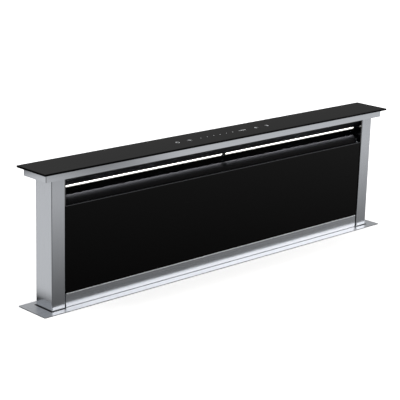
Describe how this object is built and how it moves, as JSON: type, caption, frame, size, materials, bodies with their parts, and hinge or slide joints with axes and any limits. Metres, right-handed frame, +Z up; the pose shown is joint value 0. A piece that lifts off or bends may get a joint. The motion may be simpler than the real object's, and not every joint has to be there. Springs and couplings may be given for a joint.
{
  "type": "retractable worktop extractor",
  "caption": "Wide flat downdraft extractor tower with a glass top, lit intake slot and glass front panel, rising from a worktop frame, with lift and blower in a chassis below.",
  "frame": {"origin": "middle of the underside of the worktop flange's gasket, on the worktop's surface", "axes": "+X across the width to the right, -Y to the front where the panel is, +Z up; the tower rises along +Z"},
  "size_m": [1.2052, 0.253, 0.9425],
  "materials": {
    "stainless": "brushed",
    "black_glass": "polished, back-painted black",
    "black_sheet": "satin black",
    "black_gloss": "gloss black",
    "black_aluminium": "black anodised",
    "dark_trim": "dark anodised",
    "lamp_lens": "opal, lit",
    "circuit_board": "solder mask",
    "foam": "matt",
    "galvanised": "zinc coated",
    "filter_aluminium": "satin",
    "steel": "ground",
    "brass": "turned",
    "motor_steel": "zinc plated",
    "black_plastic": "moulded",
    "grey_plastic": "moulded"
  },
  "bodies": {
    "chassis": {"worktop_flange": "stainless", "flange_gasket": "foam", "wiper_seal": "foam", "guide_rods": "steel", "bearing_blocks": "black_plastic", "drive_motor_left": "motor_steel", "drive_motor_right": "motor_steel", "chassis_front": "galvanised", "chassis_rear": "galvanised", "chassis_side_left": "galvanised", "chassis_side_right": "galvanised", "chassis_base": "galvanised", "fixing_feet": "galvanised", "blower_scroll": "grey_plastic", "blower_inlet_plate": "grey_plastic", "fan_motor": "motor_steel", "outlet_transition": "grey_plastic", "duct_collar": "grey_plastic", "damper_pin": "steel", "control_box": "black_plastic", "control_box_lid": "black_plastic", "cable_gland": "black_plastic"},
    "tower": {"glass_top": "black_glass", "head_tray": "black_sheet", "band_front": "stainless", "band_rear": "stainless", "band_end_left": "stainless", "band_end_right": "stainless", "touch_key_board": "circuit_board", "side_column_left": "stainless", "side_column_right": "stainless", "rear_panel": "stainless", "slot_cheeks": "black_gloss", "lamp_housing": "black_aluminium", "led_boards": "circuit_board", "lamp_diffuser_left": "lamp_lens", "lamp_diffuser_right": "lamp_lens", "air_guide_vane": "black_gloss", "panel_hinge_bushes": "black_plastic", "panel_catches": "black_plastic", "front_strip": "stainless", "filter_rails": "galvanised", "grease_filter_left": "filter_aluminium", "grease_filter_middle": "filter_aluminium", "grease_filter_right": "filter_aluminium", "foot_frame": "galvanised", "lift_carriage_left": "black_plastic", "lift_carriage_right": "black_plastic", "spindle_nut_left": "brass", "spindle_nut_right": "brass", "guide_bushes": "brass"},
    "panel": {"front_glass": "black_glass", "panel_frame": "black_sheet", "panel_top_trim": "dark_trim"},
    "screw_left": {"lead_screw_left": "steel"},
    "screw_right": {"lead_screw_right": "steel"},
    "fan_wheel": {"impeller": "black_plastic", "impeller_shaft": "steel"},
    "damper_front": {"damper_leaf_front": "grey_plastic"},
    "damper_rear": {"damper_leaf_rear": "grey_plastic"}
  },
  "joints": [
    {"name": "tower_lift", "type": "slide", "parent": "chassis", "child": "tower", "axis": [0, 0, 1], "range_m": [-0.316, 0]},
    {"name": "panel_tilt", "type": "hinge", "parent": "tower", "child": "panel", "pos_m": [0, -0.026, 0.0451], "axis": [1, 0, 0], "range_deg": [0, 35]},
    {"name": "spindle_left", "type": "hinge", "parent": "chassis", "child": "screw_left", "pos_m": [-0.577, 0.014, -0.2], "axis": [0, 0, 1], "range_deg": [0, 5700]},
    {"name": "spindle_right", "type": "hinge", "parent": "chassis", "child": "screw_right", "pos_m": [0.577, 0.014, -0.2], "axis": [0, 0, 1], "range_deg": [0, 5700]},
    {"name": "impeller_spin", "type": "hinge", "parent": "chassis", "child": "fan_wheel", "pos_m": [0, -0.1, -0.45], "axis": [0, 1, 0], "continuous": true},
    {"name": "damper_front_swing", "type": "hinge", "parent": "chassis", "child": "damper_front", "pos_m": [0.203, -0.124, -0.52], "axis": [0, 0, 1], "range_deg": [0, 75], "stiffness_Nm_per_rad": 0.01},
    {"name": "damper_rear_swing", "type": "hinge", "parent": "chassis", "child": "damper_rear", "pos_m": [0.203, -0.124, -0.52], "axis": [0, 0, -1], "range_deg": [0, 75], "stiffness_Nm_per_rad": 0.01}
  ],
  "couplings": [
    {"joint": "spindle_left", "follows": "tower_lift", "rad_per_m": -314.16},
    {"joint": "spindle_right", "follows": "tower_lift", "rad_per_m": -314.16}
  ]
}
